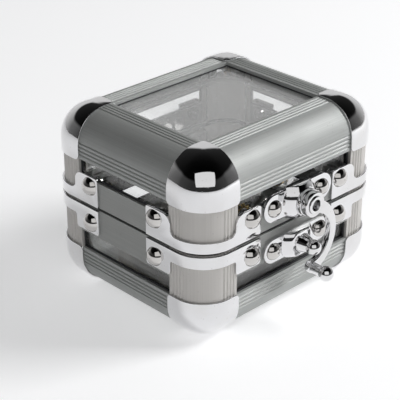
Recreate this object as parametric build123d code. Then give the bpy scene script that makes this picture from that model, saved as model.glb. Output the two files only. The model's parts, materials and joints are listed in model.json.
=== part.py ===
from build123d import *
import os
from math import acos, atan2, cos, pi, radians, sin, sqrt, tan

# Wind-up music box in a small aluminium case. Millimetres, +Z up, front (latch) towards -Y,
# origin at the centre of the flat underside.

# Case, across the ball corners
case_length = 65.0
case_depth = 57.0
case_height = 49.4
lid_height = 23.7
parting_gap = 0.8

# Edge extrusion of the rails and posts: a quarter round with a flat flange on each side, V-fluted
edge_radius = 8.5
flange_width = 3.0
extrusion_wall = 1.2
flute_count = 4
flute_pitch = 1.05
flute_width = 0.6
flute_margin = 0.8

# Ball corners
cap_wall = 0.45
cap_seat = 0.05
cap_lap = 0.4
cap_tip_round = 1.3
match_tolerance = 0.01

# Rim rails along the parting line
lid_rim_height = 6.8
base_rim_height = 8.0
rim_wall = 1.2
rim_shelf = 3.4
rim_shelf_wall = 1.2

# Clear panes
pane_wall = 1.5
pane_seat = 0.05
pane_lap = 1.4

# Floor panel
panel_wall = 1.8
panel_lap = 1.6
panel_gap = 0.15

# Gasket in the parting gap
gasket_width = 1.6
gasket_setback = 0.5
gasket_clearance = 0.06

# Corner braces: thin plates round each upright corner, with a riveted ear on each face
brace_wall = 0.6
brace_seat = 0.03
brace_reach = 19.0
brace_edge_gap = 0.1
lid_band_height = 2.8
lid_ear_height = 8.0
lid_ear_edge = 10.5
base_band_height = 3.2
base_ear_height = 7.0
base_ear_edge = 10.6
lid_shoulder_round = 2.6
base_shoulder_round = 0.7
lid_foot_round = 1.8
base_foot_round = 0.8
ear_tip_round = 0.7

# Rivets of braces and hinges
rivet_head_radius = 2.5
rivet_head_height = 1.7
rivet_shank_radius = 1.0
rivet_clearance = 0.04
rivet_tail_radius = 1.7
rivet_tail_height = 0.7
rivet_inset = 2.9
lid_rivet_rise = 5.3
base_rivet_drop = 4.2

# Swing latch: two riveted plates, each with a raised middle, a hook and a ball-ended catch post
latch_gap = 0.8
latch_plate_wall = 0.8
latch_seat = 0.03
latch_rivet_radius = 2.3
latch_rivet_height = 1.6
middle_half = 6.0
middle_gap = 0.2
middle_ramp = 2.3
upper_plate_rise = 5.5
upper_lobe_radius = 3.6
upper_middle_height = 8.8
upper_middle_rise = 3.3
lower_plate_drop = 5.5
lower_lobe_radius = 3.2
lower_middle_height = 6.4
lower_middle_rise = 2.8
pivot_boss_radius = 3.5
pivot_radius = 1.9
pivot_head_radius = 2.3
pivot_head_height = 0.3
pivot_bore = 1.45
pivot_bore_depth = 3.0
hook_standoff = 4.7
hook_wall = 1.7
hook_eye_radius = 3.3
hook_tip_drop = 17.6
hook_tip_offset = 0.2
hook_tip_radius = 1.6
hook_bulge = 8.3
hook_width = 2.2
hook_play = 0.08
hook_bore_clearance = 0.05
hook_outer_angle = 0.0
hook_inner_angle = -60.0
thumb_root_radius = 1.4
thumb_neck_radius = 1.2
thumb_pin_length = 4.2
thumb_ball_radius = 2.0
catch_root_radius = 2.5
catch_neck_radius = 1.4
catch_length = 3.5
catch_ball_radius = 2.0

# Hinges at the back
hinge_gap = 0.5
hinge_width = 9.0
hinge_leaf_wall = 0.7
hinge_leaf_height = 5.2
hinge_seat = 0.03
hinge_rivet_radius = 1.9
hinge_rivet_height = 0.9
knuckle_radius = 1.5
knuckle_gap = 0.15
hinge_pin_radius = 0.75
hinge_pin_clearance = 0.05

# Movement: axles lie along X, all at the level of the key
bed_wall = 1.8
bed_setback = 4.6
bed_depth = 37.8
bed_margin = 0.7
bed_right = 20.4
bed_screw_half_x = 14.0
bed_screw_half_y = 10.5
bed_screw_setback = 23.4
bracket_wall = 1.2
bearing_margin = 3.0
bearing_round = 1.6
train_gap = 0.6
running_clearance = 0.05
key_setback = 30.4
drive_plane = 3.0
drive_wall = 1.6
drive_module = 0.5
barrel_teeth = 32
cylinder_teeth = 20
wheel_wall = 1.2
wheel_module = 0.4
wheel_teeth = 36
governor_pinion_teeth = 12
fan_module = 0.3
fan_wheel_wall = 0.8
governor_teeth = 36
fan_pinion_teeth = 10
tooth_addendum = 0.75
tooth_dedendum = 1.15
tooth_backlash = 0.11
pressure_angle = 20.0
barrel_radius = 7.0
barrel_wall = 0.8
barrel_length = 12.4
barrel_cover_wall = 1.0
barrel_floor_gap = 0.975
spring_wall = 0.35
spring_pitch = 0.75
spring_half_turns = 9
spring_clearance = 0.5
arbor_radius = 1.5
clutch_radius = 3.0
clutch_length = 3.2
bush_radius = 1.95
bush_flange_radius = 3.0
bush_flange_wall = 0.5
bush_notch_clearance = 0.15
key_gap = 3.0
key_wing_radius = 3.3
key_wing_spread = 3.9
key_wing_wall = 1.7
key_eye_radius = 1.3
key_hub_radius = 2.2
cylinder_radius = 5.6
cylinder_overhang = 0.25
cylinder_shaft_radius = 1.2
collar_gap = 0.4
pin_radius = 0.22
pin_height = 0.45
pin_root = 0.2
pin_count = 84
pin_stride_teeth = 7
comb_tooth_count = 18
comb_tooth_pitch = 1.0
comb_slot = 0.25
comb_wall = 1.0
comb_tip_gap = 0.1
comb_short_slot = 4.6
comb_long_slot = 6.6
comb_margin = 0.5
comb_seat_depth = 5.0
comb_screw_half = 5.0
comb_screw_depth = 5.0
screw_radius = 0.9
screw_head_radius = 1.7
screw_head_height = 1.1
screw_slot_width = 0.45
screw_slot_depth = 0.5
screw_sink = 0.2
governor_shaft_radius = 0.9
fan_shaft_radius = 0.7
fan_length = 8.0
fan_radius = 4.2
fan_wall = 0.4
fan_hub_radius = 1.1

# Derived levels and planes
cap_proud = cap_seat + cap_wall
face_x = case_length / 2 - cap_proud
face_y = case_depth / 2 - cap_proud
base_face = cap_proud
lid_face = case_height - cap_proud
parting_height = case_height - lid_height
reach = edge_radius + flange_width
base_top = parting_height - parting_gap / 2
lid_bottom = parting_height + parting_gap / 2
pane_depth = max(extrusion_wall, rim_wall) + pane_seat
panel_top = base_face + extrusion_wall + panel_wall
bed_top = panel_top + bed_wall
key_level = bed_top + barrel_floor_gap + (barrel_teeth / 2 + tooth_addendum) * drive_module
bed_front = bed_setback - face_y
bed_back = bed_front + bed_depth
key_axis_y = bed_front + key_setback

os.makedirs("parts", exist_ok=True)


def save(name, *solids):
    shape = solids[0] if len(solids) == 1 else Compound(children=list(solids))
    export_step(shape, f"parts/{name}.step")


def block(first, last):
    # a box between two opposite corners, given in any order
    low = [min(pair) for pair in zip(first, last)]
    size = [abs(b - a) for a, b in zip(first, last)]
    return Pos(*low) * Box(*size, align=(Align.MIN, Align.MIN, Align.MIN))


def across(shape, plane):
    return [shape, mirror(shape, about=plane)]


def four_corners(shape):
    pair = across(shape, Plane.YZ)
    return pair + [mirror(each, about=Plane.XZ) for each in pair]


def rod(start, direction, radius, length):
    # a round bar from a point, along a direction
    return extrude(Plane(origin=start, z_dir=direction) * Circle(radius), amount=length)


# The four sides of the case: outward direction, distance of the face, half length between the posts
sides = {
    "front": ((0, -1), face_y, face_x - reach),
    "back": ((0, 1), face_y, face_x - reach),
    "left": ((-1, 0), face_x, face_y - reach),
    "right": ((1, 0), face_x, face_y - reach),
}


def on_side(side, along, depth, height):
    # a point given along a side, behind its face (negative is outside) and above the floor
    (nx, ny), distance, _ = sides[side]
    out = distance - depth
    return (nx * out - ny * along, ny * out + nx * along, height)


def side_block(side, along, depth, height):
    # a box on a side, from pairs of limits along it, behind its face and in height
    first = on_side(side, along[0], depth[0], height[0])
    return block(first, on_side(side, along[1], depth[1], height[1]))


# Edge extrusion


def edge_section():
    # the outer corner of the two faces is at the origin
    bend = 1 - sqrt(0.5)
    inner = edge_radius - extrusion_wall
    outer_mid = edge_radius * bend
    inner_mid = extrusion_wall + inner * bend
    section = make_face([
        Line((reach, 0), (edge_radius, 0)),
        ThreePointArc((edge_radius, 0), (outer_mid, outer_mid), (0, edge_radius)),
        Line((0, edge_radius), (0, reach)),
        Line((0, reach), (extrusion_wall, reach)),
        Line((extrusion_wall, reach), (extrusion_wall, edge_radius)),
        ThreePointArc((extrusion_wall, edge_radius), (inner_mid, inner_mid), (edge_radius, extrusion_wall)),
        Line((edge_radius, extrusion_wall), (reach, extrusion_wall)),
        Line((reach, extrusion_wall), (reach, 0)),
    ])
    groove = Rot(0, 0, 45) * Rectangle(flute_width * sqrt(0.5), flute_width * sqrt(0.5))
    for k in range(flute_count):
        # the flutes follow the flange and go on round the bend
        along = flute_margin + flute_width / 2 + k * flute_pitch
        turn = max(0, along - flange_width) / edge_radius
        across = reach - min(along, flange_width) - edge_radius * sin(turn)
        deep = edge_radius * (1 - cos(turn))
        section -= Pos(across, deep) * groove
        section -= Pos(deep, across) * groove
    return section


edge_face = edge_section()


def edge_bar(corner, inward, upright, length):
    run = Vector(*inward).cross(Vector(*upright))
    return extrude(Plane(origin=corner, x_dir=inward, z_dir=run) * edge_face, amount=length)


def rail(side, level, upright):
    (nx, ny), _, half = sides[side]
    corner = on_side(side, half * upright * -1, 0, level)
    return edge_bar(corner, (-nx, -ny, 0), (0, 0, upright), 2 * half)


def post(low, high):
    return edge_bar((-face_x, -face_y, low), (1, 0, 0), (0, 1, 0), high - low)


def ball_corner():
    # front left corner of the floor: a ball octant with straight skirts over the rails and the post
    skirt = reach + cap_lap + cap_proud
    outer_radius = edge_radius + cap_proud
    shell = block((0, 0, 0), (skirt, skirt, skirt))
    shell = fillet(edges_at(shell, 0), outer_radius)
    hollow = block((cap_wall, cap_wall, cap_wall), (2 * skirt, 2 * skirt, 2 * skirt))
    hollow = fillet(edges_at(hollow, cap_wall), outer_radius - cap_wall)
    cap = shell - hollow
    tips = [e for e in cap.edges()
            if abs(e.length - cap_wall) < match_tolerance and sum(e.center()) > 2 * skirt]
    return Pos(-face_x - cap_proud, -face_y - cap_proud, 0) * fillet(tips, cap_tip_round)


def edges_at(solid, level):
    # the three edges that meet at the corner where all coordinates are the given level
    corner = Vector(level, level, level)
    return [e for e in solid.edges() if (e @ 0 - corner).length < match_tolerance
            or (e @ 1 - corner).length < match_tolerance]


for side in ("front", "back", "left"):
    save(f"base_{side}_rail", rail(side, base_face, 1))

for side in sides:
    save(f"lid_{side}_rail", rail(side, lid_face, -1))

save("base_corner_posts", *four_corners(post(base_face + reach, base_top)))
save("lid_corner_posts", *four_corners(post(lid_bottom, lid_face - reach)))

base_cap = ball_corner()
save("base_ball_corners", *four_corners(base_cap))
save("lid_ball_corners", *four_corners(Pos(0, 0, case_height) * mirror(base_cap, about=Plane.XY)))


# Rim rails, panes, floor panel and gasket


brace_rivet_places = [(side, sign) for side in sides for sign in (-1, 1)]
lid_rivet_level = lid_bottom + lid_rivet_rise
base_rivet_level = base_top - base_rivet_drop
upper_latch_level = lid_bottom + upper_plate_rise
lower_latch_level = base_top - lower_plate_drop
latch_half = face_x - brace_reach - latch_gap - upper_lobe_radius
latch_places = (-latch_half, latch_half)


def brace_rivet_along(side):
    # from the middle of a side to the rivet of a brace ear
    return sides[side][2] + reach - brace_reach + rivet_inset


def side_hole(side, along, height, radius=rivet_shank_radius + rivet_clearance):
    # a round hole square to a side, right through what is on it
    (nx, ny), _, _ = sides[side]
    depth = rim_shelf + cap_proud
    return rod(on_side(side, along, -depth, height), (-nx, -ny, 0), radius, 2 * depth)


def brace_holes(side, bar, level):
    for sign in (-1, 1):
        bar -= side_hole(side, sign * brace_rivet_along(side), level)
    return bar


def rim(side, edge, rise, height, rivet_level):
    half = sides[side][2]
    wall = side_block(side, (-half, half), (0, rim_wall), (edge, edge + rise * height))
    shelf = side_block(side, (-half, half), (0, rim_shelf), (edge, edge + rise * rim_shelf_wall))
    return brace_holes(side, wall + shelf, rivet_level)


def latch_holes(bar, level, places):
    for x in places:
        bar -= side_hole("front", x, level)
    return bar


def side_pane(side, low, high):
    half = sides[side][2] + pane_lap
    return side_block(side, (-half, half), (pane_depth, pane_depth + pane_wall), (low, high))


def floor_panel():
    plug_x = face_x - reach - cap_lap - panel_gap
    plug_y = face_y - reach - cap_lap - panel_gap
    shelf_x = face_x - reach + panel_lap
    shelf_y = face_y - reach + panel_lap
    step = base_face + extrusion_wall
    plug = block((-plug_x, -plug_y, 0), (plug_x, plug_y, step))
    return plug + block((-shelf_x, -shelf_y, step), (shelf_x, shelf_y, panel_top))


def gasket():
    ring = rounded_plan(gasket_setback) - rounded_plan(gasket_setback + gasket_width)
    return extrude(Pos(0, 0, base_top) * ring, amount=parting_gap - gasket_clearance)


def rounded_plan(inset):
    return RectangleRounded(2 * (face_x - inset), 2 * (face_y - inset), edge_radius - inset)


# Corner braces and their rivets


def vertex_at(face, x, y):
    return min(face.vertices(), key=lambda v: (Vector(v) - Vector(x, y, 0)).length)


def brace(edge, rise, band, ear, ear_edge, shoulder_round, foot_round):
    # front left brace; the leg is drawn from the corner along the face and away from the parting line
    leg = make_face(Polyline(
        (edge_radius, 0), (brace_reach, 0), (brace_reach, ear), (ear_edge, ear), (ear_edge, band),
        (edge_radius, band), close=True))
    leg = fillet(vertex_at(leg, ear_edge, ear), shoulder_round)
    leg = fillet(vertex_at(leg, ear_edge, band), foot_round)
    leg = fillet(vertex_at(leg, brace_reach, ear), ear_tip_round)
    front = Plane(origin=(-face_x, -face_y - brace_seat, edge), x_dir=(1, 0, 0), z_dir=(0, -rise, 0))
    left = Plane(origin=(-face_x - brace_seat, -face_y, edge), x_dir=(0, 1, 0), z_dir=(rise, 0, 0))
    inner = edge_radius + brace_seat
    ring = Circle(inner + brace_wall) - Circle(inner)
    ring = ring & Rectangle(2 * edge_radius, 2 * edge_radius, align=(Align.MAX, Align.MAX))
    bend_centre = Pos(edge_radius - face_x, edge_radius - face_y, edge)
    plate = extrude(front * leg, amount=rise * brace_wall) + extrude(left * leg, amount=-rise * brace_wall)
    return plate + extrude(bend_centre * ring, amount=rise * band)


def rivet(head_radius, head_height, stand):
    # domed head on +Z, a shank through the rim and the pane behind it, and a flat formed tail
    ball = (head_radius ** 2 + head_height ** 2) / (2 * head_height)
    half_angle = acos((ball - head_height) / ball) / 2
    middle = (ball * sin(half_angle), head_height - ball + ball * cos(half_angle))
    tail = -(stand + pane_depth + pane_wall + pane_seat)
    end = tail - rivet_tail_height
    profile = make_face([
        Line((0, end), (rivet_tail_radius, end)),
        Line((rivet_tail_radius, end), (rivet_tail_radius, tail)),
        Line((rivet_tail_radius, tail), (rivet_shank_radius, tail)),
        Line((rivet_shank_radius, tail), (rivet_shank_radius, 0)),
        Line((rivet_shank_radius, 0), (head_radius, 0)),
        ThreePointArc((head_radius, 0), middle, (0, head_height)),
        Line((0, head_height), (0, end)),
    ])
    return revolve(Plane.XZ * profile, axis=Axis.Z)


def on_face(side, along, height, stand, solid):
    # a piece modelled on +Z, set on a side at a distance out from its face
    (nx, ny), _, _ = sides[side]
    return Plane(origin=on_side(side, along, -stand, height), z_dir=(nx, ny, 0)) * solid


def brace_rivets(level):
    stand = brace_seat + brace_wall
    solid = rivet(rivet_head_radius, rivet_head_height, stand)
    return [on_face(side, sign * brace_rivet_along(side), level, stand, solid)
            for side, sign in brace_rivet_places]


def drilled_braces(plate, level):
    for side, sign in (("front", -1), ("left", 1)):
        plate -= side_hole(side, sign * brace_rivet_along(side), level)
    return four_corners(plate)


lid_brace = brace(lid_bottom + brace_edge_gap, 1, lid_band_height, lid_ear_height,
                  lid_ear_edge, lid_shoulder_round, lid_foot_round)
base_brace = brace(base_top - brace_edge_gap, -1, base_band_height, base_ear_height,
                   base_ear_edge, base_shoulder_round, base_foot_round)
save("lid_corner_braces", *drilled_braces(lid_brace, lid_rivet_level))
save("base_corner_braces", *drilled_braces(base_brace, base_rivet_level))

# Swing latch on the front


def front_plane(height, stand):
    return Plane(origin=(0, -face_y - stand, height), x_dir=(1, 0, 0), z_dir=(0, -1, 0))


def raised_middle(level, height, rise):
    # a round swelling with a flat top, cut straight above and below and clear of the rivet heads
    top = middle_half - middle_ramp
    sink = (middle_half ** 2 - top ** 2 - rise ** 2) / (2 * rise)
    ball = sqrt(middle_half ** 2 + sink ** 2)
    shoulder = (atan2(sink, middle_half) + atan2(rise + sink, top)) / 2
    profile = make_face([
        Line((0, 0), (middle_half, 0)),
        ThreePointArc((middle_half, 0), (ball * cos(shoulder), ball * sin(shoulder) - sink), (top, rise)),
        Line((top, rise), (0, rise)),
        Line((0, rise), (0, 0)),
    ])
    plane = front_plane(level, latch_seat)
    swelling = plane * revolve(Plane.XZ * profile, axis=Axis.Z)
    swelling = swelling & plane * Box(4 * ball, height, 4 * rise)
    for x in latch_places:
        swelling -= extrude(plane * Pos(x, 0) * Circle(latch_rivet_radius + middle_gap), amount=4 * rise)
    return swelling


def latch_plate(level, lobe, middle_height, middle_rise):
    # a strip with a round lobe at each rivet and a raised middle
    hole = Circle(rivet_shank_radius + rivet_clearance)
    strip = Rectangle(2 * latch_half, 2 * lobe)
    for x in latch_places:
        strip += Pos(x, 0) * Circle(lobe)
    for x in latch_places:
        strip -= Pos(x, 0) * hole
    seat = front_plane(level, latch_seat)
    plate = extrude(seat * strip, amount=latch_plate_wall) + raised_middle(level, middle_height, middle_rise)
    return plate - extrude(seat * hole, amount=2 * middle_rise)


latch_stand = latch_seat + latch_plate_wall


def latch_rivets(level):
    solid = rivet(latch_rivet_radius, latch_rivet_height, latch_stand)
    return [on_face("front", x, level, latch_stand, solid) for x in latch_places]


def pivot_stud():
    stand = latch_seat + upper_middle_rise
    plane = front_plane(upper_latch_level, stand)
    boss = hook_standoff - hook_play - stand
    journal = boss + hook_wall + 2 * hook_play
    stud = extrude(plane * Circle(rivet_shank_radius), amount=-stand - rim_wall)
    stud += extrude(plane * Circle(pivot_boss_radius), amount=boss)
    stud += extrude(plane * Circle(pivot_radius), amount=journal)
    stud += extrude(plane.offset(journal) * Circle(pivot_head_radius), amount=pivot_head_height)
    top = plane.offset(journal + pivot_head_height)
    return stud - extrude(top * Circle(pivot_bore), amount=-pivot_bore_depth)


def hook():
    # drawn about the pivot: an eye, a crescent bulging to one side and a rounded tip
    tip = (hook_tip_offset, -hook_tip_drop)
    outer_start = Vector(hook_eye_radius, 0).rotate(Axis.Z, hook_outer_angle)
    inner_start = Vector(hook_eye_radius, 0).rotate(Axis.Z, hook_inner_angle)
    outer_end = (tip[0], tip[1] - hook_tip_radius)
    inner_end = (tip[0], tip[1] + hook_tip_radius)
    belly = -hook_tip_drop / 2
    plan = make_face([
        ThreePointArc(outer_start, (hook_bulge, belly), outer_end),
        Line(outer_end, inner_end),
        ThreePointArc(inner_end, (hook_bulge - hook_width, belly), inner_start),
        Line(inner_start, outer_start),
    ])
    plan += Circle(hook_eye_radius) + Pos(*tip) * Circle(hook_tip_radius)
    plan -= Circle(pivot_radius + hook_bore_clearance)
    plan -= Pos(*tip) * Circle(rivet_shank_radius + rivet_clearance)
    return extrude(front_plane(upper_latch_level, hook_standoff) * plan, amount=hook_wall)


def ball_pin(plane, root_radius, neck_radius, length, ball, shank):
    # a tapered pin with a ball at its end, on a straight shank that goes back through what holds it
    pin = plane * Pos(0, 0, length / 2) * Cone(root_radius, neck_radius, length)
    pin += plane * Pos(0, 0, length) * Sphere(ball)
    return pin + extrude(plane * Circle(rivet_shank_radius), amount=-shank)


def thumb_pin():
    plane = front_plane(upper_latch_level - hook_tip_drop, hook_standoff + hook_wall)
    plane = plane.move(Pos(hook_tip_offset, 0, 0))
    return ball_pin(plane, thumb_root_radius, thumb_neck_radius, thumb_pin_length,
                    thumb_ball_radius, hook_wall)


def catch_post():
    stand = latch_seat + lower_middle_rise
    return ball_pin(front_plane(lower_latch_level, stand), catch_root_radius, catch_neck_radius,
                    catch_length, catch_ball_radius, stand + rim_wall)


save("latch_upper_plate",
     latch_plate(upper_latch_level, upper_lobe_radius, upper_middle_height, upper_middle_rise))
save("latch_lower_plate",
     latch_plate(lower_latch_level, lower_lobe_radius, lower_middle_height, lower_middle_rise))
save("latch_upper_rivets", *latch_rivets(upper_latch_level))
save("latch_lower_rivets", *latch_rivets(lower_latch_level))
save("latch_pivot_stud", pivot_stud())
save("latch_hook", hook())
save("latch_thumb_pin", thumb_pin())
save("latch_catch_post", catch_post())

# Hinges at the back

hinge_axis_y = face_y + hinge_seat + knuckle_radius
hinge_half = face_x - brace_reach - hinge_gap - hinge_width / 2
hinge_places = (-hinge_half, hinge_half)
hinge_shoulder = knuckle_radius + knuckle_gap
half_knuckle = hinge_width / 6
base_knuckle = half_knuckle + knuckle_gap
lid_knuckles = [(-half_knuckle, half_knuckle)]
base_knuckles = [(-hinge_width / 2, -base_knuckle), (base_knuckle, hinge_width / 2)]
hinge_rivet_offset = hinge_width / 4
hinge_rivet_rise = hinge_shoulder + hinge_leaf_height / 2


def hinge_leaf(x, rise, knuckles, bore):
    # a leaf on the back face, above the pin (rise 1) or below it
    inner = face_y + hinge_seat
    outer = inner + hinge_leaf_wall
    near = parting_height + rise * hinge_shoulder
    leaf = block((x - hinge_width / 2, inner, near),
                 (x + hinge_width / 2, outer, near + rise * hinge_leaf_height))
    for first, last in knuckles:
        leaf += block((x + first, inner, parting_height), (x + last, outer, near))
        leaf += rod((x + first, hinge_axis_y, parting_height), (1, 0, 0), knuckle_radius, last - first)
    leaf -= rod((x - hinge_width, hinge_axis_y, parting_height), (1, 0, 0), bore, 2 * hinge_width)
    for offset in (-hinge_rivet_offset, hinge_rivet_offset):
        leaf -= side_hole("back", -x - offset, parting_height + rise * hinge_rivet_rise)
    return leaf


def hinge_rivet_places():
    return [x + offset for x in hinge_places for offset in (-hinge_rivet_offset, hinge_rivet_offset)]


def hinge_rivets(rise):
    stand = hinge_seat + hinge_leaf_wall
    solid = rivet(hinge_rivet_radius, hinge_rivet_height, stand)
    level = parting_height + rise * hinge_rivet_rise
    return [on_face("back", along, level, stand, solid) for along in hinge_rivet_places()]


def hinge_holes(bar, rise):
    for along in hinge_rivet_places():
        bar -= side_hole("back", along, parting_height + rise * hinge_rivet_rise)
    return bar


def hinge_pin(x):
    return rod((x - hinge_width / 2, hinge_axis_y, parting_height), (1, 0, 0), hinge_pin_radius, hinge_width)


save("hinge_lid_leaves", *[hinge_leaf(x, 1, lid_knuckles, hinge_pin_radius + hinge_pin_clearance)
                           for x in hinge_places])
save("hinge_base_leaves", *[hinge_leaf(x, -1, base_knuckles, hinge_pin_radius) for x in hinge_places])
save("hinge_pins", *[hinge_pin(x) for x in hinge_places])
save("lid_rivets", *brace_rivets(lid_rivet_level), *hinge_rivets(1))
save("base_rivets", *brace_rivets(base_rivet_level), *hinge_rivets(-1))

# Rims and panes with their holes

lid_rims = {side: rim(side, lid_bottom, 1, lid_rim_height, lid_rivet_level) for side in sides}
lid_rims["front"] = latch_holes(lid_rims["front"], upper_latch_level, (*latch_places, 0))
lid_rims["back"] = hinge_holes(lid_rims["back"], 1)
base_rims = {side: rim(side, base_top, -1, base_rim_height, base_rivet_level) for side in sides}
base_rims["front"] = latch_holes(base_rims["front"], lower_latch_level, (*latch_places, 0))
base_rims["back"] = hinge_holes(base_rims["back"], -1)

# The key's bush sits on the clear strip of the right side, in a notch of the rim and of the rail
bush_notch = side_hole("right", key_axis_y, key_level, bush_flange_radius + bush_notch_clearance)
base_rims["right"] -= bush_notch
save("base_right_rail", rail("right", base_face, 1) - bush_notch)
save("lid_rim_rails", *lid_rims.values())
save("base_rim_rails", *base_rims.values())

lid_pane_limits = (lid_bottom + rim_shelf_wall + pane_seat, lid_face - reach + pane_lap)
base_pane_limits = (base_face + reach - pane_lap, base_top - rim_shelf_wall - pane_seat)
lid_panes = {side: brace_holes(side, side_pane(side, *lid_pane_limits), lid_rivet_level) for side in sides}
lid_panes["front"] = latch_holes(lid_panes["front"], upper_latch_level, latch_places)
lid_panes["back"] = hinge_holes(lid_panes["back"], 1)
base_panes = {side: brace_holes(side, side_pane(side, *base_pane_limits), base_rivet_level) for side in sides}
base_panes["front"] = latch_holes(base_panes["front"], lower_latch_level, latch_places)
base_panes["back"] = hinge_holes(base_panes["back"], -1)
base_panes["right"] -= side_hole("right", key_axis_y, key_level, bush_radius)
save("lid_side_windows", *lid_panes.values())
save("base_side_windows", *base_panes.values())

window_x = face_x - reach + pane_lap
window_y = face_y - reach + pane_lap
window_top = lid_face - extrusion_wall - pane_seat
save("lid_window", block((-window_x, -window_y, window_top - pane_wall), (window_x, window_y, window_top)))
save("parting_gasket", gasket())

# Movement: gears

drive_end = drive_plane + drive_wall
barrel_end = drive_end + barrel_length
cylinder_right = drive_plane - collar_gap
cylinder_length = comb_tooth_count * comb_tooth_pitch + 2 * (comb_margin + cylinder_overhang)
cylinder_left = cylinder_right - cylinder_length
wheel_right = cylinder_left - collar_gap
wheel_left = wheel_right - wheel_wall
fan_wheel_right = wheel_left - train_gap
fan_wheel_left = fan_wheel_right - fan_wheel_wall
plate_right = fan_wheel_left - train_gap
plate_left = plate_right - bracket_wall
bed_left = plate_left - bed_margin
stand_left = wheel_right + train_gap
stand_right = stand_left + bracket_wall
fan_left = stand_right + train_gap
fan_right = fan_left + fan_length
tail_left = fan_right + train_gap
tail_right = tail_left + bracket_wall
cylinder_axis_y = key_axis_y - drive_module * (barrel_teeth + cylinder_teeth) / 2
governor_axis_y = cylinder_axis_y + wheel_module * (wheel_teeth + governor_pinion_teeth) / 2
fan_axis_y = governor_axis_y + fan_module * (governor_teeth + fan_pinion_teeth) / 2


def turned(axis_y, low, high, radius):
    # a round piece on one of the axles
    return rod((low, axis_y, key_level), (1, 0, 0), radius, high - low)


def half_tooth(teeth, module, radius):
    # half the angle of an involute tooth at a radius, thinned by the backlash
    pitch_radius = module * teeth / 2
    base_radius = pitch_radius * cos(radians(pressure_angle))
    slope = acos(min(1.0, base_radius / radius))
    involute = tan(slope) - slope
    start = tan(radians(pressure_angle)) - radians(pressure_angle)
    return (pi * module / 2 - tooth_backlash) / (2 * pitch_radius) + start - involute


def gear(axis_y, low, high, teeth, module, bore, gap_first):
    # a spur gear on an axle, with a tooth (or a gap) pointing along +Y
    pitch_radius = module * teeth / 2
    root = pitch_radius - tooth_dedendum * module
    tip = pitch_radius + tooth_addendum * module
    flank = [root, max(root, pitch_radius * cos(radians(pressure_angle))), pitch_radius, tip]
    step = 2 * pi / teeth
    turn = step / 2 if gap_first else 0.0
    outline = []
    for k in range(teeth):
        rising = [(r, -half_tooth(teeth, module, r)) for r in flank]
        for r, angle in rising + [(r, -angle) for r, angle in reversed(rising)]:
            at = turn + k * step + angle
            outline.append((r * cos(at), r * sin(at)))
    plane = Plane(origin=(low, axis_y, key_level), x_dir=(0, 1, 0), z_dir=(1, 0, 0))
    face = make_face(Polyline(*outline, close=True))
    if bore:
        face -= Circle(bore)
    return extrude(plane * face, amount=high - low)


def bearing_plate(low, high, *axles):
    # an upright plate on the bedplate, with a running hole for each axle and its radius
    first = min(y for y, _ in axles) - bearing_margin
    last = max(y for y, _ in axles) + bearing_margin
    plate = block((low, first, bed_top), (high, last, key_level + bearing_margin))
    top_edges = [e for e in plate.edges().filter_by(Axis.X) if e.center().Z > key_level]
    plate = fillet(top_edges, bearing_round)
    for y, radius in axles:
        plate -= turned(y, low - train_gap, high + train_gap, radius + running_clearance)
    return plate


# Movement: spring barrel, arbor and key


def spring_barrel():
    gear_disc = gear(key_axis_y, drive_plane, drive_end, barrel_teeth, drive_module,
                     arbor_radius + running_clearance, False)
    cup = turned(key_axis_y, drive_end, barrel_end, barrel_radius)
    return gear_disc + (cup - turned(key_axis_y, drive_end, barrel_end, barrel_radius - barrel_wall))


def barrel_cover():
    disc = turned(key_axis_y, barrel_end - barrel_cover_wall, barrel_end, barrel_radius - barrel_wall)
    return disc - turned(key_axis_y, drive_end, barrel_end, arbor_radius + running_clearance)


def mainspring():
    # a flat spiral of half circles, each wider than the last by half the pitch
    grow = spring_pitch / 2
    mean = arbor_radius + spring_clearance + spring_wall / 2
    outer, inner = [], []
    centre, side = 0.0, 1
    for _ in range(spring_half_turns):
        for edge, arcs in ((mean + spring_wall / 2, outer), (mean - spring_wall / 2, inner)):
            start, end = (centre + side * edge, 0), (centre - side * edge, 0)
            arcs.append(ThreePointArc(start, (centre, side * edge), end))
        centre += side * grow
        mean += grow
        side = -side
    ends = [Line(outer[0] @ 0, inner[0] @ 0), Line(outer[-1] @ 1, inner[-1] @ 1)]
    low = drive_end + spring_clearance
    plane = Plane(origin=(low, key_axis_y, key_level), x_dir=(0, 1, 0), z_dir=(1, 0, 0))
    height = barrel_length - barrel_cover_wall - 2 * spring_clearance
    return extrude(plane * make_face(outer + inner + ends), amount=height)


barrel_plates = [
    (drive_plane - train_gap - bracket_wall, drive_plane - train_gap),
    (barrel_end + train_gap, barrel_end + train_gap + bracket_wall),
]
clutch_start = barrel_plates[1][1]
arbor_end = clutch_start + clutch_length
bush_inside = face_x - pane_depth - pane_wall
bush_outside = face_x - pane_depth
wing_start = face_x + key_gap


def clutch_sleeve():
    ring = turned(key_axis_y, clutch_start, arbor_end, clutch_radius)
    return ring - turned(key_axis_y, clutch_start, arbor_end, arbor_radius + running_clearance)


def key_bush():
    flange_end = bush_outside + bush_flange_wall
    ring = turned(key_axis_y, bush_inside, bush_outside, bush_radius)
    ring += turned(key_axis_y, bush_outside, flange_end, bush_flange_radius)
    return ring - turned(key_axis_y, bush_inside, flange_end, arbor_radius + running_clearance)


def winding_key():
    wing_middle = wing_start + key_wing_radius
    wing_back = (wing_middle, key_axis_y + key_wing_wall / 2, key_level)
    plane = Plane(origin=wing_back, x_dir=(1, 0, 0), z_dir=(0, -1, 0))
    plan = Rectangle(2 * key_hub_radius, 2 * key_wing_spread)
    for z in (-key_wing_spread, key_wing_spread):
        plan += Pos(0, z) * Circle(key_wing_radius)
    for z in (-key_wing_spread, key_wing_spread):
        plan -= Pos(0, z) * Circle(key_eye_radius)
    wings = extrude(plane * plan, amount=key_wing_wall)
    stem = turned(key_axis_y, arbor_end, wing_middle, arbor_radius)
    return wings + stem + turned(key_axis_y, wing_start - key_gap / 2, wing_middle, key_hub_radius)


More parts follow.
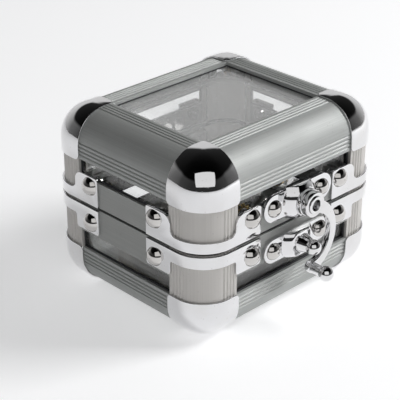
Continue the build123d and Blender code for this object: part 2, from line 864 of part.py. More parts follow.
save("spring_barrel", spring_barrel())
save("barrel_cover", barrel_cover())
save("mainspring", mainspring())
save("winding_arbor", turned(key_axis_y, barrel_plates[0][0], arbor_end, arbor_radius))
save("barrel_brackets", *[bearing_plate(*limits, (key_axis_y, arbor_radius)) for limits in barrel_plates])
save("clutch_sleeve", clutch_sleeve())
save("key_bush", key_bush())
save("winding_key", winding_key())

# Movement: pinned cylinder and comb


def cylinder_pins():
    # a plain repeating figure: each step round the drum takes another track
    pins = []
    track_start = cylinder_left + (cylinder_length - (comb_tooth_count - 1) * comb_tooth_pitch) / 2
    for k in range(pin_count):
        angle = 2 * pi * k / pin_count
        x = track_start + comb_tooth_pitch * (k * pin_stride_teeth % comb_tooth_count)
        out = (0, cos(angle), sin(angle))
        root = cylinder_radius - pin_root
        start = (x, cylinder_axis_y + root * out[1], key_level + root * out[2])
        pins.append(rod(start, out, pin_radius, pin_root + pin_height))
    return pins


def cylinder_drum():
    drum = turned(cylinder_axis_y, cylinder_left, cylinder_right, cylinder_radius)
    return drum - turned(cylinder_axis_y, cylinder_left, cylinder_right, cylinder_shaft_radius)


cylinder_plate = (drive_end + train_gap, drive_end + train_gap + bracket_wall)
comb_tip_y = cylinder_axis_y - cylinder_radius - pin_height - comb_tip_gap
comb_middle = (cylinder_left + cylinder_right) / 2
comb_half = comb_tooth_count * comb_tooth_pitch / 2 + comb_margin
comb_screw_y = bed_front + comb_seat_depth / 2
comb_low = key_level - comb_wall / 2
comb_high = comb_low + comb_wall


def comb():
    plate = block((comb_middle - comb_half, bed_front, comb_low),
                  (comb_middle + comb_half, comb_tip_y, comb_high))
    for k in range(1, comb_tooth_count):
        x = comb_middle + (k - comb_tooth_count / 2) * comb_tooth_pitch
        depth = comb_short_slot + (comb_long_slot - comb_short_slot) * k / comb_tooth_count
        plate -= block((x - comb_slot / 2, comb_tip_y - depth, comb_low),
                       (x + comb_slot / 2, comb_tip_y, comb_high))
    return comb_drilled(plate)


def comb_screw_places():
    return [comb_middle - comb_screw_half, comb_middle + comb_screw_half]


def comb_drilled(solid):
    for x in comb_screw_places():
        solid -= rod((x, comb_screw_y, comb_high), (0, 0, -1), screw_radius + rivet_clearance,
                     comb_wall + comb_screw_depth)
    return solid


def screw(start, direction, length):
    # a cheese-head screw whose head stands against its direction
    plane = Plane(origin=start, z_dir=direction)
    head = extrude(plane * Circle(screw_head_radius), amount=-screw_head_height)
    slot = extrude(plane.offset(-screw_head_height) * Rectangle(3 * screw_head_radius, screw_slot_width),
                   amount=screw_slot_depth)
    return head - slot + extrude(plane * Circle(screw_radius), amount=length)


bed_screw_middle = bed_front + bed_screw_setback
bed_screw_places = [(x, bed_screw_middle + y) for x in (-bed_screw_half_x, bed_screw_half_x)
                    for y in (-bed_screw_half_y, bed_screw_half_y)]
bed_screw_seat = screw_sink + screw_head_height


def bedplate():
    bed = block((bed_left, bed_front, panel_top), (bed_right, bed_back, bed_top))
    bed += block((comb_middle - comb_half, bed_front, bed_top),
                 (comb_middle + comb_half, bed_front + comb_seat_depth, comb_low))
    for x, y in bed_screw_places:
        bed -= rod((x, y, panel_top), (0, 0, 1), screw_radius + rivet_clearance, bed_wall)
    return comb_drilled(bed)


def drilled_panel():
    panel = floor_panel()
    for x, y in bed_screw_places:
        panel -= rod((x, y, 0), (0, 0, 1), screw_head_radius + panel_gap, bed_screw_seat)
        panel -= rod((x, y, 0), (0, 0, 1), screw_radius + rivet_clearance, panel_top)
    return panel


save("base_panel", drilled_panel())
save("bedplate", bedplate())
bed_screw_length = bed_top - bed_screw_seat - rivet_clearance
save("bedplate_screws", *[screw((x, y, bed_screw_seat), (0, 0, 1), bed_screw_length)
                          for x, y in bed_screw_places])
save("comb", comb())
comb_screw_length = comb_wall + comb_screw_depth - rivet_clearance
save("comb_screws", *[screw((x, comb_screw_y, comb_high), (0, 0, -1), comb_screw_length)
                      for x in comb_screw_places()])
save("cylinder_drum", cylinder_drum())
save("cylinder_pins", *cylinder_pins())
save("cylinder_shaft", turned(cylinder_axis_y, plate_left, cylinder_plate[1], cylinder_shaft_radius))
save("cylinder_gear", gear(cylinder_axis_y, drive_plane, drive_end, cylinder_teeth, drive_module,
                           cylinder_shaft_radius, True))
save("cylinder_wheel", gear(cylinder_axis_y, wheel_left, wheel_right, wheel_teeth, wheel_module,
                            cylinder_shaft_radius, False))
save("cylinder_bracket", bearing_plate(*cylinder_plate, (cylinder_axis_y, cylinder_shaft_radius)))

# Movement: governor with its air brake


def governor_arbor():
    shaft = turned(governor_axis_y, plate_left, stand_right, governor_shaft_radius)
    return shaft + gear(governor_axis_y, wheel_left, wheel_right, governor_pinion_teeth, wheel_module,
                        0, True)


def fan_arbor():
    shaft = turned(fan_axis_y, plate_left, tail_right, fan_shaft_radius)
    return shaft + gear(fan_axis_y, fan_wheel_left, fan_wheel_right, fan_pinion_teeth, fan_module, 0, True)


def fan_vanes():
    hub = turned(fan_axis_y, fan_left, fan_right, fan_hub_radius)
    blade = block((fan_left, fan_axis_y - fan_radius, key_level - fan_wall / 2),
                  (fan_right, fan_axis_y + fan_radius, key_level + fan_wall / 2))
    return hub + blade - turned(fan_axis_y, fan_left, fan_right, fan_shaft_radius)


def governor_bracket():
    stand = bearing_plate(stand_left, stand_right, (governor_axis_y, governor_shaft_radius),
                          (fan_axis_y, fan_shaft_radius))
    tail = bearing_plate(tail_left, tail_right, (fan_axis_y, fan_shaft_radius))
    foot = block((stand_left, fan_axis_y - bearing_margin, bed_top),
                 (tail_right, fan_axis_y + bearing_margin, bed_top + bracket_wall))
    return stand + tail + foot


save("governor_arbor", governor_arbor())
save("governor_wheel", gear(governor_axis_y, fan_wheel_left, fan_wheel_right, governor_teeth, fan_module,
                            governor_shaft_radius, False))
save("fan_arbor", fan_arbor())
save("fan_vanes", fan_vanes())
save("governor_bracket", governor_bracket())
save("bearing_plate", bearing_plate(plate_left, plate_right, (cylinder_axis_y, cylinder_shaft_radius),
                                    (governor_axis_y, governor_shaft_radius), (fan_axis_y, fan_shaft_radius)))
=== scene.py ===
import json
import math
import bpy
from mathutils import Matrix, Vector

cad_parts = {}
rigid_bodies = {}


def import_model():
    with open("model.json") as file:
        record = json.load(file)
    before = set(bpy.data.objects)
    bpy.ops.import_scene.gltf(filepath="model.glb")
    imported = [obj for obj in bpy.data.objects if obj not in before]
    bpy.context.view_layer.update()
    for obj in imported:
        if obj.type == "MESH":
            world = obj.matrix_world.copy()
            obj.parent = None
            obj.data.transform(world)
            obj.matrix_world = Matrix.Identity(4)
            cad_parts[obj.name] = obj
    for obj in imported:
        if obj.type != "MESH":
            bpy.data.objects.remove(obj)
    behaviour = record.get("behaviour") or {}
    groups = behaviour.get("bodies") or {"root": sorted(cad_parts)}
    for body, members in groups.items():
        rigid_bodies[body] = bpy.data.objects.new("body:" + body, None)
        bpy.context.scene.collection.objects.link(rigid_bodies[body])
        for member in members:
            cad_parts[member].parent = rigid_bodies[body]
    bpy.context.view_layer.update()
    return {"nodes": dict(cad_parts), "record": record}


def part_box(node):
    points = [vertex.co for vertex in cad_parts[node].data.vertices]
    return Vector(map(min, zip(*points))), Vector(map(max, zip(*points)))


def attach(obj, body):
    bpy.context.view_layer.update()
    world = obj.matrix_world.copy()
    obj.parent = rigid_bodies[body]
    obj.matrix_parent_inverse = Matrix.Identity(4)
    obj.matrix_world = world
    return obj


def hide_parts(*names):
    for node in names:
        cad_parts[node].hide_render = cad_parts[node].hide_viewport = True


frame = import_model()
bodyOf = {node: body for body, nodes in frame["record"]["behaviour"]["bodies"].items() for node in nodes}
slotOf = {row["node"]: row["material_slot"] for row in frame["record"]["subparts"]}
print("frame loaded:", len(bodyOf), "nodes")

mm = 0.001


# small helpers for node trees

mixSocket = {"factor": 0, "first": 6, "second": 7, "result": 2}  # places of a Mix node's colour sockets


def addNode(tree, kind, settings=None, values=None):
    node = tree.nodes.new(kind)
    for key, value in (settings or {}).items():
        setattr(node, key, value)
    for key, value in (values or {}).items():
        node.inputs[key].default_value = value
    return node


def wire(tree, *pairs):
    for source, target in pairs:
        tree.links.new(source, target)


def feed(tree, value, socket):
    # a socket is wired, a number or vector is set, and a colour gets its alpha
    if isinstance(value, bpy.types.NodeSocket):
        wire(tree, (value, socket))
    elif isinstance(value, tuple) and len(value) < len(socket.default_value):
        socket.default_value = (*value, 1)
    else:
        socket.default_value = value


def addRamp(tree, source, stops):
    ramp = addNode(tree, "ShaderNodeValToRGB")
    points = ramp.color_ramp.elements
    while len(points) < len(stops):
        points.new(0.5)  # moved to its place below
    for point, (place, level) in zip(points, stops):
        point.position = place
        point.color = (level, level, level, 1)
    wire(tree, (source, ramp.inputs["Fac"]))
    return ramp.outputs["Color"]


def addMath(tree, operation, first, second):
    node = addNode(tree, "ShaderNodeMath", {"operation": operation})
    for value, socket in zip((first, second), node.inputs):
        feed(tree, value, socket)
    return node.outputs["Value"]


def scaled(tree, source, share):
    return addMath(tree, "MULTIPLY", source, share)


def sumOf(tree, total, *others):
    for other in others:
        total = addMath(tree, "ADD", total, other)
    return total


def addMix(tree, factor, first, second):
    node = addNode(tree, "ShaderNodeMix", {"data_type": "RGBA"})
    for key, value in (("factor", factor), ("first", first), ("second", second)):
        feed(tree, value, node.inputs[mixSocket[key]])
    return node.outputs[mixSocket["result"]]


def tinted(tree, colour, mask, share, tone):
    return addMix(tree, scaled(tree, mask, share), colour, tone)


def addNoise(tree, vector, values):
    noise = addNode(tree, "ShaderNodeTexNoise", None, values)
    wire(tree, (vector, noise.inputs["Vector"]))
    return noise.outputs["Fac"]


def startGroup(name, inputs, outputs):
    group = bpy.data.node_groups.new(name, "ShaderNodeTree")
    for label, kind in inputs.items():
        group.interface.new_socket(name=label, in_out="INPUT", socket_type=kind)
    for label in outputs:
        group.interface.new_socket(name=label, in_out="OUTPUT", socket_type="NodeSocketFloat")
    return group, addNode(group, "NodeGroupInput").outputs, addNode(group, "NodeGroupOutput").inputs


def useGroup(tree, group, coords, values=None):
    node = addNode(tree, "ShaderNodeGroup", {"node_tree": group}, values)
    wire(tree, (coords, node.inputs["Vector"]))
    return node


def startMaterial(name, values):
    material = bpy.data.materials.new(name)
    material.use_nodes = True
    tree = material.node_tree
    shader = tree.nodes["Principled BSDF"]
    for key, value in values.items():
        shader.inputs[key].default_value = value
    coords = addNode(tree, "ShaderNodeTexCoord")
    return material, tree, shader.inputs, coords.outputs["Object"]


def setSurface(tree, skin, colour, rough, height, look):
    bump = addNode(tree, "ShaderNodeBump", None, {"Strength": look["bump"], "Distance": look["depth"]})
    wire(tree, (colour, skin["Base Color"]), (rough, skin["Roughness"]),
         (height, bump.inputs["Height"]), (bump.outputs["Normal"], skin["Normal"]))


# effects that several finishes share

lineLook = {
    "fine": {"Scale": 2.4, "Detail": 2.0, "Roughness": 0.7},
    "broad": {"Scale": 0.55, "Detail": 3.0, "Roughness": 0.6},
    "toneStops": [(0.3, 0.0), (0.7, 1.0)],
    "streakStops": [(0.35, 0.0), (0.68, 1.0)],
}


def makeBrushedLines():
    group, entry, leave = startGroup(
        "brushedLines", {"Vector": "NodeSocketVector", "Stretch": "NodeSocketVector"},
        ["Tone", "Streak", "Height"])
    stretched = addNode(group, "ShaderNodeVectorMath", {"operation": "MULTIPLY"})
    wire(group, (entry["Vector"], stretched.inputs[0]), (entry["Stretch"], stretched.inputs[1]))
    fine = addNoise(group, stretched.outputs[0], lineLook["fine"])
    broad = addNoise(group, stretched.outputs[0], lineLook["broad"])
    wire(group, (fine, leave["Height"]),
         (addRamp(group, fine, lineLook["toneStops"]), leave["Tone"]),
         (addRamp(group, broad, lineLook["streakStops"]), leave["Streak"]))
    return group


markLook = {
    "smudge": {"Scale": 95.0, "Detail": 4.0, "Roughness": 0.55},
    "smudgeStops": [(0.45, 0.0), (0.72, 1.0)],
    "scratchTurn": {"Rotation": (0.5, 0.35, 0.8), "Scale": (2600, 110, 2600)},
    "scratch": {"Scale": 1.0, "Detail": 1.0},
    "scratchStops": [(0.66, 0.0), (0.74, 1.0)],
    "speck": {"Scale": 620.0},
    "speckStops": [(0.05, 1.0), (0.12, 0.0)],
}


def makeHandlingMarks():
    group, entry, leave = startGroup(
        "handlingMarks", {"Vector": "NodeSocketVector"}, ["Smudge", "Scratch", "Speck"])
    smudge = addNoise(group, entry["Vector"], markLook["smudge"])
    turned = addNode(group, "ShaderNodeMapping", None, markLook["scratchTurn"])
    scratches = addNoise(group, turned.outputs["Vector"], markLook["scratch"])
    specks = addNode(group, "ShaderNodeTexVoronoi", None, markLook["speck"])
    wire(group, (entry["Vector"], turned.inputs["Vector"]), (entry["Vector"], specks.inputs["Vector"]),
         (addRamp(group, smudge, markLook["smudgeStops"]), leave["Smudge"]),
         (addRamp(group, scratches, markLook["scratchStops"]), leave["Scratch"]),
         (addRamp(group, specks.outputs["Distance"], markLook["speckStops"]), leave["Speck"]))
    return group


edgeWearAndGlintLook = {
    "samples": 6,
    "edgeStops": [(0.80, 1.0), (0.985, 0.0)],  # by how nearly the rounded and the plain normal agree
    "patch": {"Scale": 900.0, "Detail": 2.0},
    "patchStops": [(0.35, 0.3), (0.65, 1.0)],
}


# edge mask from the Bevel normal: on the satin aluminium it paints a highlight along ridges and edges
# (painted glint); on the nickel and the movement parts it is rubbed wear
def makeWornAndGlintEdges():
    group, entry, leave = startGroup(
        "wornAndGlintEdges", {"Vector": "NodeSocketVector", "Radius": "NodeSocketFloat"}, ["Edge"])
    rounded = addNode(group, "ShaderNodeBevel", {"samples": edgeWearAndGlintLook["samples"]})
    plain = addNode(group, "ShaderNodeNewGeometry")
    bend = addNode(group, "ShaderNodeVectorMath", {"operation": "DOT_PRODUCT"})
    wire(group, (entry["Radius"], rounded.inputs["Radius"]), (rounded.outputs["Normal"], bend.inputs[0]),
         (plain.outputs["Normal"], bend.inputs[1]))
    edge = addRamp(group, bend.outputs["Value"], edgeWearAndGlintLook["edgeStops"])
    broken = addRamp(group, addNoise(group, entry["Vector"], edgeWearAndGlintLook["patch"]), edgeWearAndGlintLook["patchStops"])
    wire(group, (addMath(group, "MULTIPLY", edge, broken), leave["Edge"]))
    return group


brushedLines = makeBrushedLines()
handlingMarks = makeHandlingMarks()
wornAndGlintEdges = makeWornAndGlintEdges()


# finishes

brushed = {
    "metallic": 0.4, "across": 2600.0, "along": 16.0, "bump": 0.35, "depth": 0.012 * mm,
    "toneShare": 0.7, "streakShare": 0.3, "streakRough": 0.08, "smudgeRough": 0.07,
    "speckShare": 0.35, "speckDark": 0.5,
    # edgeTone is a painted highlight: the colour the ridges and edges are lightened to, in place of lamp
    # glints
    "edgeRadius": 0.25 * mm, "edgeShare": 0.6, "edgeTone": (0.86, 0.86, 0.85),
    "sidesWithin": 20 * mm,  # past this depth a rim runs across the front or the back
}


def grainStretch(tree, coords, along):
    # lines run along one axis; on the rims they follow whichever side of the case the point is on
    stretch = {axis: tuple(brushed["along"] if k == i else brushed["across"] for k in range(3))
               for i, axis in enumerate("xyz")}
    if along in stretch:
        return stretch[along]
    split = addNode(tree, "ShaderNodeSeparateXYZ")
    wire(tree, (coords, split.inputs[0]))
    depth = addMath(tree, "ABSOLUTE", split.outputs["Y"], 0.0)
    frontOrBack = addMath(tree, "GREATER_THAN", depth, brushed["sidesWithin"])
    return addMix(tree, frontOrBack, stretch["y"], stretch["x"])


def brushedAluminium(name, along, dark, light, roughness):
    material, tree, skin, coords = startMaterial(name, {"Metallic": brushed["metallic"]})
    lineNode = useGroup(tree, brushedLines, coords)
    feed(tree, grainStretch(tree, coords, along), lineNode.inputs["Stretch"])
    lines = lineNode.outputs
    marks = useGroup(tree, handlingMarks, coords).outputs
    edgeWearAndGlint = useGroup(tree, wornAndGlintEdges, coords, {"Radius": brushed["edgeRadius"]}).outputs
    tone = sumOf(tree, scaled(tree, lines["Tone"], brushed["toneShare"]),
                 scaled(tree, lines["Streak"], brushed["streakShare"]))
    specked = tuple(brushed["speckDark"] * c for c in dark)
    colour = addMix(tree, tone, dark, light)
    colour = tinted(tree, colour, marks["Speck"], brushed["speckShare"], specked)
    # painted highlight: flute ridges and edges lightened towards edgeTone, standing in for glints of the
    # lamp
    colour = tinted(tree, colour, edgeWearAndGlint["Edge"], brushed["edgeShare"], brushed["edgeTone"])
    rough = sumOf(tree, scaled(tree, lines["Streak"], brushed["streakRough"]), roughness,
                  scaled(tree, marks["Smudge"], brushed["smudgeRough"]))
    setSurface(tree, skin, colour, rough, lines["Height"], brushed)
    return material


chrome = {
    "smudgeShare": 0.6, "speckShare": 0.3, "speckTone": (0.36, 0.34, 0.32), "roughness": 0.035,
    "smudgeRough": 0.05, "scratchRough": 0.10, "bump": 0.12, "depth": 0.01 * mm,
}


def polishedChrome(name, bright, dull):
    material, tree, skin, coords = startMaterial(name, {"Metallic": 1.0})
    marks = useGroup(tree, handlingMarks, coords).outputs
    colour = tinted(tree, bright, marks["Smudge"], chrome["smudgeShare"], dull)
    colour = tinted(tree, colour, marks["Speck"], chrome["speckShare"], chrome["speckTone"])
    rough = sumOf(tree, scaled(tree, marks["Smudge"], chrome["smudgeRough"]), chrome["roughness"],
                  scaled(tree, marks["Scratch"], chrome["scratchRough"]))
    setSurface(tree, skin, colour, rough, marks["Scratch"], chrome)
    return material


acrylic = {
    "ior": 1.49, "clean": (0.985, 0.99, 0.99), "smudged": (0.955, 0.965, 0.965),
    "roughness": 0.015, "scratchRough": 0.12, "smudgeRough": 0.03, "speckRough": 0.5,
}


def clearAcrylic(name, clearness, lampShare):
    # dust and scratches take some clearness; lampShare is how much of a lamp's light passes straight in
    material, tree, skin, coords = startMaterial(
        name, {"Transmission Weight": clearness, "IOR": acrylic["ior"]})
    marks = useGroup(tree, handlingMarks, coords).outputs
    colour = addMix(tree, marks["Smudge"], acrylic["clean"], acrylic["smudged"])
    rough = sumOf(tree, scaled(tree, marks["Scratch"], acrylic["scratchRough"]), acrylic["roughness"],
                  scaled(tree, marks["Smudge"], acrylic["smudgeRough"]),
                  scaled(tree, marks["Speck"], acrylic["speckRough"]))
    path = addNode(tree, "ShaderNodeLightPath")
    passing = scaled(tree, path.outputs["Is Shadow Ray"], lampShare)
    wire(tree, (colour, skin["Base Color"]), (rough, skin["Roughness"]),
         (addMath(tree, "SUBTRACT", 1.0, passing), skin["Alpha"]))
    return material


rubber = {
    "specular": 0.35, "grain": {"Scale": 2600.0, "Detail": 3.0}, "bump": 0.4, "depth": 0.03 * mm,
    "dark": (0.012, 0.014, 0.016), "light": (0.05, 0.052, 0.055),
    "dust": (0.25, 0.25, 0.25), "dustShare": 0.25, "roughness": 0.5, "grainRough": 0.25,
}


def blackRubber():
    material, tree, skin, coords = startMaterial("blackRubber", {"Specular IOR Level": rubber["specular"]})
    grain = addNoise(tree, coords, rubber["grain"])
    marks = useGroup(tree, handlingMarks, coords).outputs
    colour = addMix(tree, grain, rubber["dark"], rubber["light"])
    colour = tinted(tree, colour, marks["Speck"], rubber["dustShare"], rubber["dust"])
    rough = sumOf(tree, scaled(tree, grain, rubber["grainRough"]), rubber["roughness"])
    setSurface(tree, skin, colour, rough, grain, rubber)
    return material


nickel = {
    "metallic": 0.9, "pits": {"Scale": 1500.0, "Detail": 4.0, "Roughness": 0.65},
    "bump": 0.5, "depth": 0.04 * mm, "roughness": 0.26, "pitRough": 0.22,
    "dark": (0.50, 0.49, 0.47), "light": (0.66, 0.65, 0.62),
    "edgeRadius": 0.3 * mm, "edgeShare": 0.7, "edgeTone": (0.80, 0.79, 0.76),
}


def castNickel():
    material, tree, skin, coords = startMaterial("castNickel", {"Metallic": nickel["metallic"]})
    pits = addNoise(tree, coords, nickel["pits"])
    edgeWearAndGlint = useGroup(tree, wornAndGlintEdges, coords, {"Radius": nickel["edgeRadius"]}).outputs
    colour = addMix(tree, pits, nickel["dark"], nickel["light"])
    colour = tinted(tree, colour, edgeWearAndGlint["Edge"], nickel["edgeShare"], nickel["edgeTone"])
    rough = sumOf(tree, scaled(tree, pits, nickel["pitRough"]), nickel["roughness"])
    setSurface(tree, skin, colour, rough, pits, nickel)
    return material


ground = {
    "stretch": (2400.0, 60.0, 60.0),  # rings round a turned piece on an axle along X
    "smudgeShare": 0.45, "smudgeDark": 0.8, "streakRough": 0.12, "smudgeRough": 0.10,
    "edgeRadius": 0.12 * mm, "edgeShare": 0.5, "edgeLight": 1.2, "bump": 0.3, "depth": 0.01 * mm,
}


def groundMetal(name, dark, light, roughness):
    # turned or ground metal of the movement, with fine lines in the direction of the cut
    material, tree, skin, coords = startMaterial(name, {"Metallic": 1.0})
    lines = useGroup(tree, brushedLines, coords, {"Stretch": ground["stretch"]}).outputs
    marks = useGroup(tree, handlingMarks, coords).outputs
    edgeWearAndGlint = useGroup(tree, wornAndGlintEdges, coords, {"Radius": ground["edgeRadius"]}).outputs
    smudged = tuple(ground["smudgeDark"] * c for c in dark)
    rubbed = tuple(min(1, ground["edgeLight"] * c) for c in light)
    colour = addMix(tree, lines["Tone"], dark, light)
    colour = tinted(tree, colour, marks["Smudge"], ground["smudgeShare"], smudged)
    colour = tinted(tree, colour, edgeWearAndGlint["Edge"], ground["edgeShare"], rubbed)
    rough = sumOf(tree, scaled(tree, lines["Streak"], ground["streakRough"]), roughness,
                  scaled(tree, marks["Smudge"], ground["smudgeRough"]))
    setSurface(tree, skin, colour, rough, lines["Height"], ground)
    return material


# tones of each finish, and the direction of its lines
rimTone = {"along": "rim", "dark": (0.33, 0.34, 0.33), "light": (0.42, 0.425, 0.415), "roughness": 0.38}
panelTone = {"along": "x", "dark": (0.42, 0.43, 0.44), "light": (0.58, 0.59, 0.60), "roughness": 0.40}
railTone = {"dark": (0.455, 0.47, 0.46), "light": (0.57, 0.585, 0.575), "roughness": 0.55}
postTone = {"along": "z", "dark": (0.67, 0.65, 0.625), "light": (0.75, 0.73, 0.705), "roughness": 0.55}
plateTone = {"bright": (0.74, 0.74, 0.75), "dull": (0.66, 0.65, 0.64)}
# the rivets get a darker, warmer copy of the chrome: painted shade and painted reflection, standing in for
# the dark surroundings their domes mirror
rivetShadedTone = {"bright": (0.60, 0.585, 0.57), "dull": (0.50, 0.48, 0.465)}
sidePane = {"clearness": 1.0, "lampShare": 0.3}
topPane = {"clearness": 0.84, "lampShare": 0.8}
steelTone = {"dark": (0.44, 0.44, 0.46), "light": (0.70, 0.70, 0.72), "roughness": 0.20}
brassTone = {"dark": (0.62, 0.44, 0.18), "light": (0.84, 0.66, 0.34), "roughness": 0.20}
barrelTone = {"dark": (0.56, 0.55, 0.53), "light": (0.78, 0.77, 0.74), "roughness": 0.16}
fanTone = {"dark": (0.62, 0.62, 0.63), "light": (0.82, 0.82, 0.83), "roughness": 0.24}

finishes = {
    "rim_aluminium": brushedAluminium("rimAluminium", **rimTone),
    "chrome": polishedChrome("polishedChrome", **plateTone),
    "clear_acrylic": clearAcrylic("clearAcrylic", **sidePane),
    "gasket_rubber": blackRubber(),
    "floor_aluminium": brushedAluminium("floorAluminium", **panelTone),
    "bedplate_nickel": castNickel(),
    "movement_steel": groundMetal("groundSteel", **steelTone),
    "movement_brass": groundMetal("turnedBrass", **brassTone),
    "barrel_nickel": groundMetal("barrelNickel", **barrelTone),
    "fan_aluminium": groundMetal("fanAluminium", **fanTone),
}
satinBy = {axis: brushedAluminium("satinExtrusion" + axis.upper(), axis, **railTone) for axis in "xy"}
rivetShadedChrome = polishedChrome("rivetShadedChrome", **rivetShadedTone)
satinUpright = brushedAluminium("satinUpright", **postTone)
dustyPane = clearAcrylic("dustyAcrylic", **topPane)


def finishFor(node):
    if node == "lid_window":
        return dustyPane
    if "rivets" in node:
        return rivetShadedChrome
    if slotOf[node] != "satin_extrusion":
        return finishes[slotOf[node]]
    if "posts" in node:
        return satinUpright
    return satinBy["x" if "front" in node or "back" in node else "y"]


def dress(piece, material):
    piece.data.materials.clear()
    piece.data.materials.append(material)
    for face in piece.data.polygons:
        face.material_index = 0


for name, node in frame["nodes"].items():
    dress(node, finishFor(name))
print("finishes set on the solids")


# chrome pieces get the eased edges of pressed and tumbled parts

easedEdges = {  # width of each piece's easing, in mm
    "latch_hook": 0.45, "latch_upper_plate": 0.28, "latch_lower_plate": 0.28, "latch_pivot_stud": 0.25,
    "latch_upper_rivets": 0.2, "latch_lower_rivets": 0.2,
    "lid_corner_braces": 0.16, "base_corner_braces": 0.16,
    "lid_ball_corners": 0.14, "base_ball_corners": 0.14,
    "hinge_lid_leaves": 0.18, "hinge_base_leaves": 0.18, "winding_key": 0.45,
}
easing = {"merge": 0.0005 * mm, "flatDegrees": 0.3, "sharpDegrees": 42, "smoothDegrees": 38, "steps": 3}


def selectOnly(piece):
    bpy.ops.object.select_all(action="DESELECT")
    piece.select_set(True)
    bpy.context.view_layer.objects.active = piece


def easeEdges(nodeName, width):
    source = frame["nodes"][nodeName]
    piece = source.copy()
    piece.data = source.data.copy()
    piece.name = "eased_" + nodeName
    bpy.context.scene.collection.objects.link(piece)
    piece.hide_render = False
    selectOnly(piece)
    bpy.ops.mesh.customdata_custom_splitnormals_clear()
    bpy.ops.object.mode_set(mode="EDIT")
    bpy.ops.mesh.select_all(action="SELECT")
    bpy.ops.mesh.remove_doubles(threshold=easing["merge"])
    bpy.ops.mesh.dissolve_limited(angle_limit=math.radians(easing["flatDegrees"]))
    bpy.ops.object.mode_set(mode="OBJECT")
    bevel = piece.modifiers.new("easedEdge", "BEVEL")
    bevel.width = width * mm
    bevel.segments = easing["steps"]
    bevel.limit_method = "ANGLE"
    bevel.angle_limit = math.radians(easing["sharpDegrees"])
    bpy.ops.object.modifier_apply(modifier=bevel.name)
    bpy.ops.object.shade_smooth_by_angle(angle=math.radians(easing["smoothDegrees"]))
    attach(piece, bodyOf[nodeName])
    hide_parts(nodeName)


for name, width in easedEdges.items():
    easeEdges(name, width)
print("eased edges on", len(easedEdges), "chrome pieces")


# dark rubber seals between the clear panes and the metal round them; their dark colour also paints the
# shadow lines along the pane edges (painted shade)

seal = {"gap": 0.02 * mm, "bushGap": 0.35 * mm, "steps": 2, "smoothDegrees": 50}
sideSeal = {"wide": 0.5 * mm, "proud": 0.55 * mm, "round": 0.16 * mm}
topSeal = {"wide": 0.22 * mm, "proud": 0.3 * mm, "round": 0.07 * mm}


def sealBar(low, high, roundness):
    middle = (Vector(low) + Vector(high)) / 2
    size = [abs(b - a) for a, b in zip(low, high)]
    bpy.ops.object.select_all(action="DESELECT")
    bpy.ops.mesh.primitive_cube_add(size=1, location=middle, scale=size)
    bpy.ops.object.transform_apply(location=True, rotation=True, scale=True)
    bpy.ops.object.mode_set(mode="EDIT")
    bpy.ops.mesh.select_all(action="SELECT")
    bpy.ops.mesh.bevel(offset=roundness, segments=seal["steps"], affect="EDGES")
    bpy.ops.object.mode_set(mode="OBJECT")
    bpy.ops.object.shade_smooth_by_angle(angle=math.radians(seal["smoothDegrees"]))
    return bpy.context.object


def sealRing(bar, place, across, upright, split=None):
    # bars just inside an opening, with room left at split
    # place turns (across, out, upright) into a point, out from the pane's face
    (left, right), (low, high) = [(a + seal["gap"], b - seal["gap"]) for a, b in (across, upright)]
    wide = bar["wide"]
    spans = [(left, right)] if split is None else [(left, split[0]), (split[1], right)]
    runs = [(span, edge) for span in spans for edge in ((low, low + wide), (high - wide, high))]
    runs += [(edge, (low + wide, high - wide)) for edge in ((left, left + wide), (right - wide, right))]
    return [sealBar(place(u[0], seal["gap"], v[0]), place(u[1], bar["proud"], v[1]), bar["round"])
            for u, v in runs]


def joinSeals(bars, name, body):
    selectOnly(bars[0])
    for bar in bars:
        bar.select_set(True)
    bpy.ops.object.join()
    piece = bpy.context.object
    piece.name = name
    dress(piece, finishes["gasket_rubber"])
    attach(piece, body)


def openingSides(paneNode):
    # the pane's outer face on each side, and how far the opening runs along it
    low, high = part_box(paneNode)
    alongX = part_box("lid_front_rail")[1][0]
    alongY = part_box("lid_left_rail")[1][1]
    return {
        "front": (lambda u, out, v: (u, low[1] - out, v), alongX),
        "back": (lambda u, out, v: (u, high[1] + out, v), alongX),
        "left": (lambda u, out, v: (low[0] - out, u, v), alongY),
        "right": (lambda u, out, v: (high[0] + out, u, v), alongY),
    }


lidRim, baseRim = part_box("lid_rim_rails"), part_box("base_rim_rails")
lidRail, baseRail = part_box("lid_front_rail"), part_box("base_front_rail")
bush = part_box("key_bush")
bushSplit = (bush[0][1] - seal["bushGap"], bush[1][1] + seal["bushGap"])
lidBars, baseBars = [], []
for place, half in openingSides("lid_side_windows").values():
    lidBars += sealRing(sideSeal, place, (-half, half), (lidRim[1][2], lidRail[0][2]))
for side, (place, half) in openingSides("base_side_windows").items():
    baseBars += sealRing(sideSeal, place, (-half, half), (baseRail[1][2], baseRim[0][2]),
                         bushSplit if side == "right" else None)
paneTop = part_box("lid_window")[1][2]
topX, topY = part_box("lid_right_rail")[0][0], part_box("lid_back_rail")[0][1]
lidBars += sealRing(topSeal, lambda u, out, v: (u, v, paneTop + out), (-topX, topX), (-topY, topY))
joinSeals(lidBars, "lid_window_seals", "lid")
joinSeals(baseBars, "base_window_seals", "base")
print("seals fitted round the panes")


# stage: floor, lamps, world and camera

floorLook = {
    "size": 8.0, "drop": 0.05 * mm, "grey": (0.86, 0.865, 0.875), "pale": (0.90, 0.90, 0.905),
    "glow": 0.53, "roughness": 0.6, "specular": 0.15, "cloud": {"Scale": 3.0, "Detail": 2.0},
}


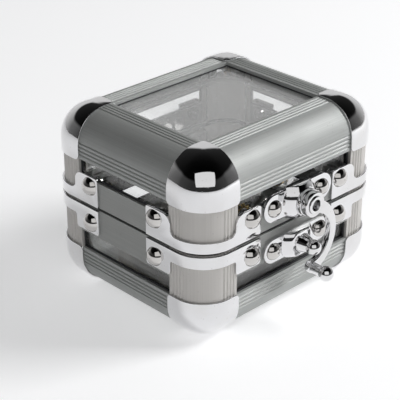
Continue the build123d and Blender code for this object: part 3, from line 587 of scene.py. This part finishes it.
def makeFloor():
    bpy.ops.object.select_all(action="DESELECT")
    bpy.ops.mesh.primitive_plane_add(size=floorLook["size"], location=(0, 0, -floorLook["drop"]))
    floor = bpy.context.object
    floor.name = "floor"
    material, tree, skin, coords = startMaterial(
        "paleFloor", {"Roughness": floorLook["roughness"], "Specular IOR Level": floorLook["specular"]})
    colour = addMix(tree, addNoise(tree, coords, floorLook["cloud"]), floorLook["grey"], floorLook["pale"])
    path = addNode(tree, "ShaderNodeLightPath").outputs
    seen = addMath(tree, "MAXIMUM", path["Is Camera Ray"], path["Is Glossy Ray"])
    seen = addMath(tree, "MAXIMUM", seen, path["Is Transmission Ray"])
    wire(tree, (colour, skin["Base Color"]), (colour, skin["Emission Color"]),
         (scaled(tree, seen, floorLook["glow"]), skin["Emission Strength"]))
    dress(floor, material)


lampAim = Vector((0, 0, 0.02))
lamps = {
    "frontLamp": {"at": (0.56, -0.41, 0.58), "size": (0.34, 0.34), "power": 4.9, "mirrored": False},
    "windowLamp": {"at": (-0.485, -0.62, 0.616), "size": (1.1, 0.8), "power": 2.4, "mirrored": True},
}


def spareChrome(lamp):
    # keeps the lamp's hard square image off the polished pieces
    polished = bpy.data.collections.new("polishedPieces")
    for piece in bpy.data.objects:
        looks = piece.data.materials[:] if piece.type == "MESH" else []
        if finishes["chrome"] in looks or rivetShadedChrome in looks:
            polished.objects.link(piece)
    lamp.light_linking.receiver_collection = polished
    for row in polished.collection_objects:
        row.light_linking.link_state = "EXCLUDE"


def addLamp(name, at, size, power, mirrored):
    light = bpy.data.lights.new(name, "AREA")
    light.shape = "RECTANGLE"
    light.size, light.size_y = size
    light.energy = power
    lamp = bpy.data.objects.new(name, light)
    bpy.context.scene.collection.objects.link(lamp)
    lamp.location = at
    lamp.rotation_euler = (lampAim - Vector(at)).to_track_quat("-Z", "Y").to_euler()
    if not mirrored:
        spareChrome(lamp)


surround = {
    "slope": 0.354, "middle": 0.5,  # from 0 on the camera's side to 1 on the far side
    "aroundStops": [(0.1, 0.03), (0.38, 0.06), (0.56, 0.16), (0.95, 0.72)],
    "upStops": [(0.0, 1.0), (0.44, 1.0), (0.53, 0.04), (0.9, 0.02)],
}


def makeWorld():
    # dark above and near by, and pale low down towards the back
    world = bpy.data.worlds.new("room")
    bpy.context.scene.world = world
    world.use_nodes = True
    tree = world.node_tree
    coords = addNode(tree, "ShaderNodeTexCoord")
    split = addNode(tree, "ShaderNodeSeparateXYZ")
    wire(tree, (coords.outputs["Generated"], split.inputs[0]))
    away = sumOf(tree, split.outputs["X"], split.outputs["Y"])
    away = sumOf(tree, scaled(tree, away, surround["slope"]), surround["middle"])
    level = addRamp(tree, away, surround["aroundStops"])
    height = addRamp(tree, split.outputs["Z"], surround["upStops"])
    wire(tree, (addMath(tree, "MULTIPLY", height, level), tree.nodes["Background"].inputs["Color"]))


view = {
    "azimuth": -44.21, "elevation": 27.42, "distance": 341.5 * mm,
    "target": (-2.9 * mm, 2.82 * mm, 20.2 * mm), "lens": 116.69, "sensor": 36.0, "nearest": 0.01,
}


def placeCamera():
    camera = bpy.data.cameras.new("photoView")
    camera.lens, camera.sensor_width = view["lens"], view["sensor"]
    camera.clip_start = view["nearest"]
    turn, rise = math.radians(view["azimuth"]), math.radians(view["elevation"])
    back = Vector((math.sin(turn) * math.cos(rise), -math.cos(turn) * math.cos(rise), math.sin(rise)))
    holder = bpy.data.objects.new("photoView", camera)
    bpy.context.scene.collection.objects.link(holder)
    holder.location = Vector(view["target"]) + back * view["distance"]
    holder.rotation_euler = back.to_track_quat("Z", "Y").to_euler()
    bpy.context.scene.camera = holder


makeFloor()
for name, lamp in lamps.items():
    addLamp(name, **lamp)
makeWorld()
placeCamera()
bpy.context.scene.view_settings.view_transform = "Standard"
print("stage, lamps and camera set")
